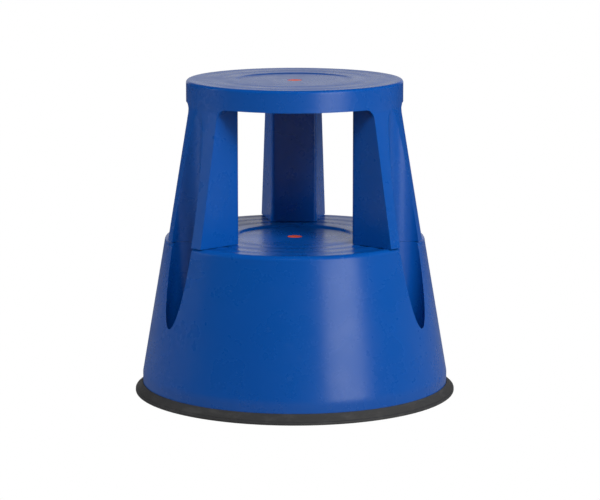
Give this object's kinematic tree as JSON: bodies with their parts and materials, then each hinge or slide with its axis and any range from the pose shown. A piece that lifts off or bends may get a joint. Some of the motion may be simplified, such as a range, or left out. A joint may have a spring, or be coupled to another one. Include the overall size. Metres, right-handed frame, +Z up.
{
  "type": "kick step stool",
  "caption": "Round two-step kick stool: blue moulded drum and legs, hand pockets, dark rubber base ring and sprung swivel castors.",
  "frame": {"origin": "on the floor under the centre of the stool, standing unloaded on its castors", "axes": "+Z up; -Y is the middle of the front window between two legs; +X to the right"},
  "size_m": [0.437, 0.437, 0.43],
  "materials": {
    "blue_plastic": "semi-gloss moulded polypropylene with a fine grain",
    "orange_inlay": "semi-gloss moulded inlay",
    "base_rubber": "matt dark grey rubber",
    "zinc_steel": "zinc-plated pressed steel and wire",
    "nylon": "natural nylon",
    "tyre_rubber": "soft grey tread"
  },
  "bodies": {
    "root": {"upper_body": "blue_plastic", "lower_drum": "blue_plastic", "base_ring": "base_rubber", "top_badge": "orange_inlay", "step_badge": "orange_inlay", "leg_screw_1": "zinc_steel", "leg_screw_2": "zinc_steel", "leg_screw_3": "zinc_steel", "leg_screw_4": "zinc_steel", "leg_screw_5": "zinc_steel", "leg_screw_6": "zinc_steel", "castor_1_bush": "nylon", "castor_2_bush": "nylon", "castor_3_bush": "nylon", "castor_1_spring": "zinc_steel", "castor_2_spring": "zinc_steel", "castor_3_spring": "zinc_steel"},
    "castor_1_plunger": {"castor_1_stem": "zinc_steel", "castor_1_retaining_ring": "zinc_steel"},
    "castor_1_swivel": {"castor_1_fork": "zinc_steel", "castor_1_axle": "zinc_steel"},
    "castor_1_roller": {"castor_1_wheel": "nylon", "castor_1_tyre": "tyre_rubber"},
    "castor_2_plunger": {"castor_2_stem": "zinc_steel", "castor_2_retaining_ring": "zinc_steel"},
    "castor_2_swivel": {"castor_2_fork": "zinc_steel", "castor_2_axle": "zinc_steel"},
    "castor_2_roller": {"castor_2_wheel": "nylon", "castor_2_tyre": "tyre_rubber"},
    "castor_3_plunger": {"castor_3_stem": "zinc_steel", "castor_3_retaining_ring": "zinc_steel"},
    "castor_3_swivel": {"castor_3_fork": "zinc_steel", "castor_3_axle": "zinc_steel"},
    "castor_3_roller": {"castor_3_wheel": "nylon", "castor_3_tyre": "tyre_rubber"}
  },
  "joints": [
    {"name": "castor_1_plunge", "type": "slide", "parent": "root", "child": "castor_1_plunger", "axis": [0, 0, 1], "range_m": [0, 0.005], "stiffness_N_per_m": 4000, "springref_m": -0.005, "deforming": ["castor_1_spring"]},
    {"name": "castor_1_turn", "type": "hinge", "parent": "castor_1_plunger", "child": "castor_1_swivel", "pos_m": [0.13683, 0.079, 0.046], "axis": [0, 0, 1], "continuous": true},
    {"name": "castor_1_roll", "type": "hinge", "parent": "castor_1_swivel", "child": "castor_1_roller", "pos_m": [0.14283, 0.06861, 0.019], "axis": [0.866, 0.5, 0], "continuous": true},
    {"name": "castor_2_plunge", "type": "slide", "parent": "root", "child": "castor_2_plunger", "axis": [0, 0, 1], "range_m": [0, 0.005], "stiffness_N_per_m": 4000, "springref_m": -0.005, "deforming": ["castor_2_spring"]},
    {"name": "castor_2_turn", "type": "hinge", "parent": "castor_2_plunger", "child": "castor_2_swivel", "pos_m": [-0.13683, 0.079, 0.046], "axis": [0, 0, 1], "continuous": true},
    {"name": "castor_2_roll", "type": "hinge", "parent": "castor_2_swivel", "child": "castor_2_roller", "pos_m": [-0.13083, 0.08939, 0.019], "axis": [-0.866, 0.5, 0], "continuous": true},
    {"name": "castor_3_plunge", "type": "slide", "parent": "root", "child": "castor_3_plunger", "axis": [0, 0, 1], "range_m": [0, 0.005], "stiffness_N_per_m": 4000, "springref_m": -0.005, "deforming": ["castor_3_spring"]},
    {"name": "castor_3_turn", "type": "hinge", "parent": "castor_3_plunger", "child": "castor_3_swivel", "pos_m": [0, -0.158, 0.046], "axis": [0, 0, 1], "continuous": true},
    {"name": "castor_3_roll", "type": "hinge", "parent": "castor_3_swivel", "child": "castor_3_roller", "pos_m": [-0.012, -0.158, 0.019], "axis": [0, -1, 0], "continuous": true}
  ]
}
